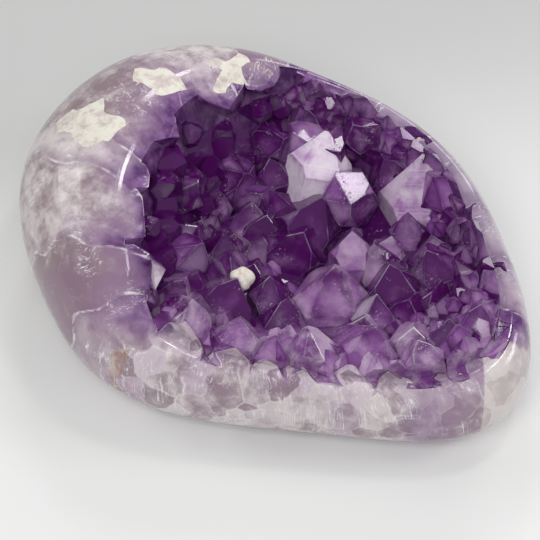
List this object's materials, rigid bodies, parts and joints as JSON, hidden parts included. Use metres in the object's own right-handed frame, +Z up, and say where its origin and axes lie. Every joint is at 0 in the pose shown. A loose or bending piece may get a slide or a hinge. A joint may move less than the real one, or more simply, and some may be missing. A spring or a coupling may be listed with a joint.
{
  "type": "amethyst cluster",
  "caption": "Rounded quartz stone with a flat base and a broad polished edge round an open hollow lined with amethyst points, and a small white calcite knob.",
  "frame": {"origin": "on the flat base, under the middle of the stone's bounding box", "axes": "+X along the stone's long side towards its narrow end, +Y towards the high back, +Z up from the flat base"},
  "size_m": [0.2022, 0.1708, 0.0757],
  "materials": {
    "quartz": "polished",
    "amethyst": "natural crystal faces, glossy",
    "calcite": "dull"
  },
  "bodies": {
    "root": {"polished_stone": "quartz", "amethyst_crust": "amethyst", "calcite_knob": "calcite"}
  },
  "joints": []
}
